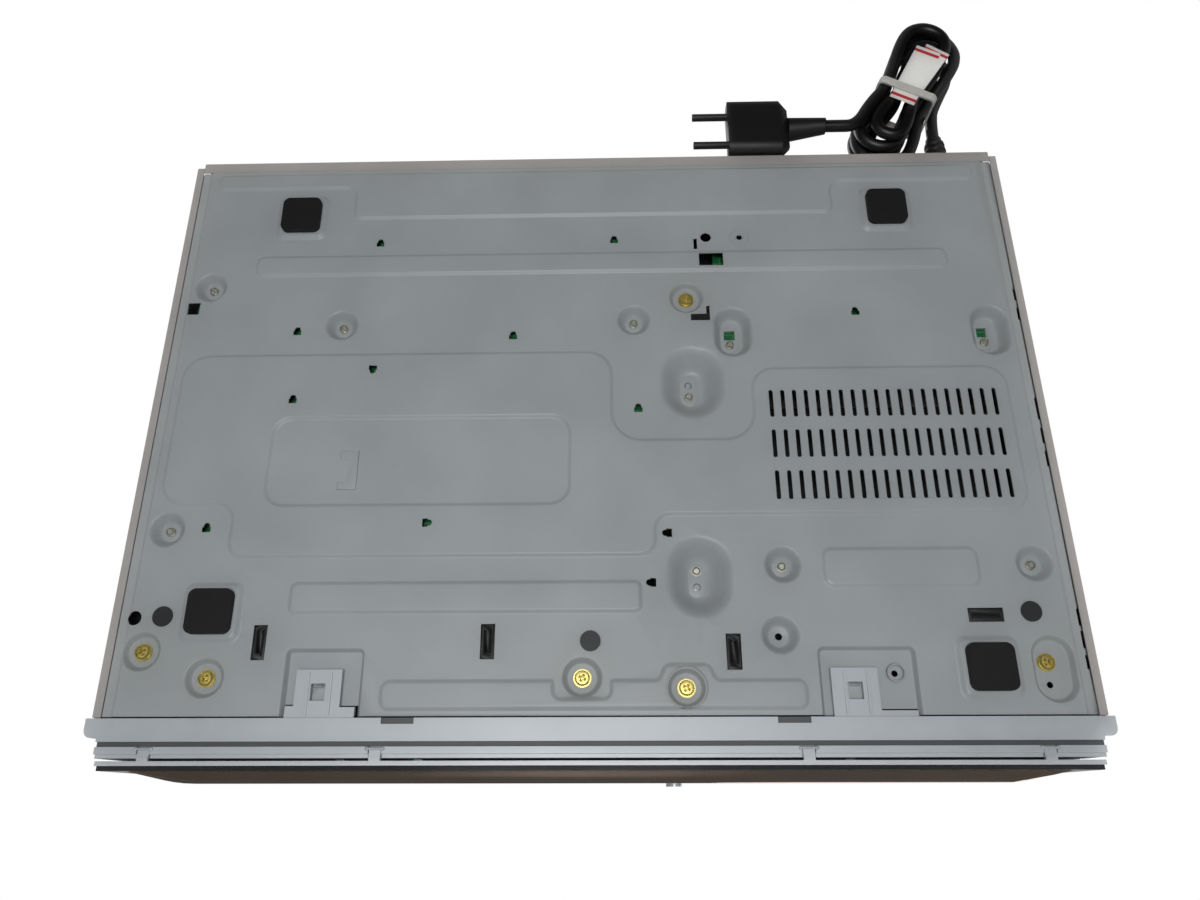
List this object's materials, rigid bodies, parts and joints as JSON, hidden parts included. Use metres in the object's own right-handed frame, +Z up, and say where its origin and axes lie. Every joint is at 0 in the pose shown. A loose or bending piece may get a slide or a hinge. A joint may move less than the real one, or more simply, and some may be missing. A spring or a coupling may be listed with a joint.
{
  "type": "disc recorder and tape deck combo",
  "caption": "Flat mains-powered recorder with a sliding disc tray, a front-loading tape deck, a pressed vented pan on rubber feet and a tied lead.",
  "frame": {"origin": "on the floor under the middle of the case, feet down", "axes": "+Z up, front towards -Y, +X to the right seen from the front"},
  "size_m": [0.434, 0.4106, 0.088],
  "materials": {
    "pan_steel": "satin",
    "cover_paint": "satin",
    "silver_plastic": "satin",
    "dark_window": "gloss",
    "bright_lip": "mirror",
    "foot_rubber": "matte",
    "yellow_screw": "satin",
    "plain_screw": "satin",
    "grey_plastic": "matte",
    "black_plastic": "matte",
    "socket_plastic": "matte",
    "circuit_board": "satin",
    "tube_glass": "gloss",
    "chip_plastic": "matte",
    "capacitor_sleeve": "gloss",
    "fin_aluminium": "satin",
    "tin_can": "satin",
    "transformer_core": "matte",
    "lead_rubber": "matte",
    "tie_nylon": "satin",
    "tag_paper": "matte",
    "drive_plastic": "matte",
    "sheet_zinc": "satin",
    "tray_plastic": "matte",
    "gear_plastic": "satin",
    "motor_steel": "satin",
    "drum_aluminium": "polished",
    "reel_plastic": "matte",
    "spring_steel": "satin",
    "button_plastic": "satin"
  },
  "bodies": {
    "case": {"bottom_chassis": "pan_steel", "top_cover": "cover_paint", "rear_panel": "cover_paint", "feet": "foot_rubber", "case_screws": "yellow_screw", "board_screws": "plain_screw", "hole_plugs": "grey_plastic", "board_clips": "black_plastic", "front_bezel": "silver_plastic", "fascia": "silver_plastic", "display_window": "dark_window", "control_lip": "bright_lip", "front_jacks": "socket_plastic", "front_board": "circuit_board", "display_tube": "tube_glass", "drive_frame": "drive_plastic", "drive_lid": "sheet_zinc", "spindle_motor": "motor_steel", "pickup_rails": "motor_steel", "deck_frame": "sheet_zinc", "drum_base": "drum_aluminium", "tape_guides": "motor_steel", "flap_spring": "spring_steel", "main_board": "circuit_board", "board_chips": "chip_plastic", "power_board": "circuit_board", "power_transformer": "transformer_core", "capacitors": "capacitor_sleeve", "heatsink": "fin_aluminium", "tuner": "tin_can", "scart_sockets": "socket_plastic", "rear_jacks": "socket_plastic", "strain_relief": "black_plastic", "mains_lead": "lead_rubber", "lead_hank": "lead_rubber", "cable_tie": "tie_nylon", "lead_tag": "tag_paper", "mains_plug": "black_plastic"},
    "tray": {"disc_tray": "tray_plastic", "tray_front": "silver_plastic"},
    "gear": {"tray_gear": "gear_plastic"},
    "spindle": {"disc_spindle": "drive_plastic"},
    "clamper": {"disc_clamper": "drive_plastic"},
    "sled": {"pickup_sled": "drive_plastic"},
    "drum": {"head_drum": "drum_aluminium"},
    "capstan_wheel": {"capstan": "motor_steel"},
    "pinch_wheel": {"pinch_roller": "foot_rubber"},
    "left_reel": {"supply_reel": "reel_plastic"},
    "right_reel": {"takeup_reel": "reel_plastic"},
    "carriage": {"tape_carriage": "sheet_zinc"},
    "tape_door": {"cassette_flap": "silver_plastic"},
    "jack_door": {"av_flap": "dark_window"},
    "stick": {"joystick": "button_plastic"},
    "tray_button_cap": {"tray_button": "button_plastic"},
    "eject_button_cap": {"eject_button": "button_plastic"},
    "play_button_cap": {"play_button": "button_plastic"},
    "stop_button_cap": {"stop_button": "button_plastic"},
    "record_button_cap": {"record_button": "button_plastic"},
    "channel_button_cap": {"channel_button": "button_plastic"},
    "power_button_cap": {"power_button": "button_plastic"}
  },
  "joints": [
    {"name": "tray_slide", "type": "slide", "parent": "case", "child": "tray", "axis": [0, -1, 0], "range_m": [0, 0.128]},
    {"name": "tray_gear_turn", "type": "hinge", "parent": "case", "child": "gear", "pos_m": [-0.167, -0.1339, 0.0575], "axis": [0, 0, 1], "range_deg": [0, 820]},
    {"name": "spindle_turn", "type": "hinge", "parent": "case", "child": "spindle", "pos_m": [-0.12, -0.0819, 0.055], "axis": [0, 0, 1], "continuous": true},
    {"name": "clamper_turn", "type": "hinge", "parent": "case", "child": "clamper", "pos_m": [-0.12, -0.0819, 0.075], "axis": [0, 0, 1], "continuous": true},
    {"name": "sled_slide", "type": "slide", "parent": "case", "child": "sled", "axis": [0, 1, 0], "range_m": [0, 0.03]},
    {"name": "drum_turn", "type": "hinge", "parent": "case", "child": "drum", "pos_m": [0.103, 0.0231, 0.05], "axis": [0, 0, 1], "continuous": true},
    {"name": "capstan_turn", "type": "hinge", "parent": "case", "child": "capstan_wheel", "pos_m": [0.158, -0.0089, 0.03], "axis": [0, 0, 1], "continuous": true},
    {"name": "pinch_turn", "type": "hinge", "parent": "case", "child": "pinch_wheel", "pos_m": [0.1695, -0.0029, 0.043], "axis": [0, 0, 1], "continuous": true},
    {"name": "supply_turn", "type": "hinge", "parent": "case", "child": "left_reel", "pos_m": [0.057, -0.0649, 0.03], "axis": [0, 0, 1], "continuous": true},
    {"name": "takeup_turn", "type": "hinge", "parent": "case", "child": "right_reel", "pos_m": [0.149, -0.0649, 0.03], "axis": [0, 0, 1], "continuous": true},
    {"name": "carriage_slide", "type": "slide", "parent": "case", "child": "carriage", "axis": [0, 0, -1], "range_m": [0, 0.013]},
    {"name": "tape_door_turn", "type": "hinge", "parent": "case", "child": "tape_door", "pos_m": [0.103, -0.1524, 0.0793], "axis": [1, 0, 0], "range_deg": [0, 80], "stiffness_Nm_per_rad": 0.02, "springref_deg": -17.19},
    {"name": "jack_door_turn", "type": "hinge", "parent": "case", "child": "jack_door", "pos_m": [0.169, -0.1571, 0.0252], "axis": [1, 0, 0], "range_deg": [0, 95]},
    {"name": "stick_tip", "type": "hinge", "parent": "case", "child": "stick", "pos_m": [-0.034, -0.1476, 0.0232], "axis": [1, 0, 0], "range_deg": [-4, 4], "stiffness_Nm_per_rad": 0.05},
    {"name": "tray_button_press", "type": "slide", "parent": "case", "child": "tray_button_cap", "axis": [0, 1, 0], "range_m": [0, 0.0008], "stiffness_N_per_m": 400, "springref_m": -0.0003},
    {"name": "eject_button_press", "type": "slide", "parent": "case", "child": "eject_button_cap", "axis": [0, 1, 0], "range_m": [0, 0.0008], "stiffness_N_per_m": 400, "springref_m": -0.0003},
    {"name": "play_button_press", "type": "slide", "parent": "case", "child": "play_button_cap", "axis": [0, 1, 0], "range_m": [0, 0.0008], "stiffness_N_per_m": 400, "springref_m": -0.0003},
    {"name": "stop_button_press", "type": "slide", "parent": "case", "child": "stop_button_cap", "axis": [0, 1, 0], "range_m": [0, 0.0008], "stiffness_N_per_m": 400, "springref_m": -0.0003},
    {"name": "record_button_press", "type": "slide", "parent": "case", "child": "record_button_cap", "axis": [0, 1, 0], "range_m": [0, 0.0008], "stiffness_N_per_m": 400, "springref_m": -0.0003},
    {"name": "channel_button_press", "type": "slide", "parent": "case", "child": "channel_button_cap", "axis": [0, 1, 0], "range_m": [0, 0.0008], "stiffness_N_per_m": 400, "springref_m": -0.0003},
    {"name": "power_button_press", "type": "slide", "parent": "case", "child": "power_button_cap", "axis": [0, 1, 0], "range_m": [0, 0.0008], "stiffness_N_per_m": 400, "springref_m": -0.0003}
  ],
  "couplings": [
    {"joint": "tray_gear_turn", "follows": "tray_slide", "rad_per_m": 111.11}
  ]
}
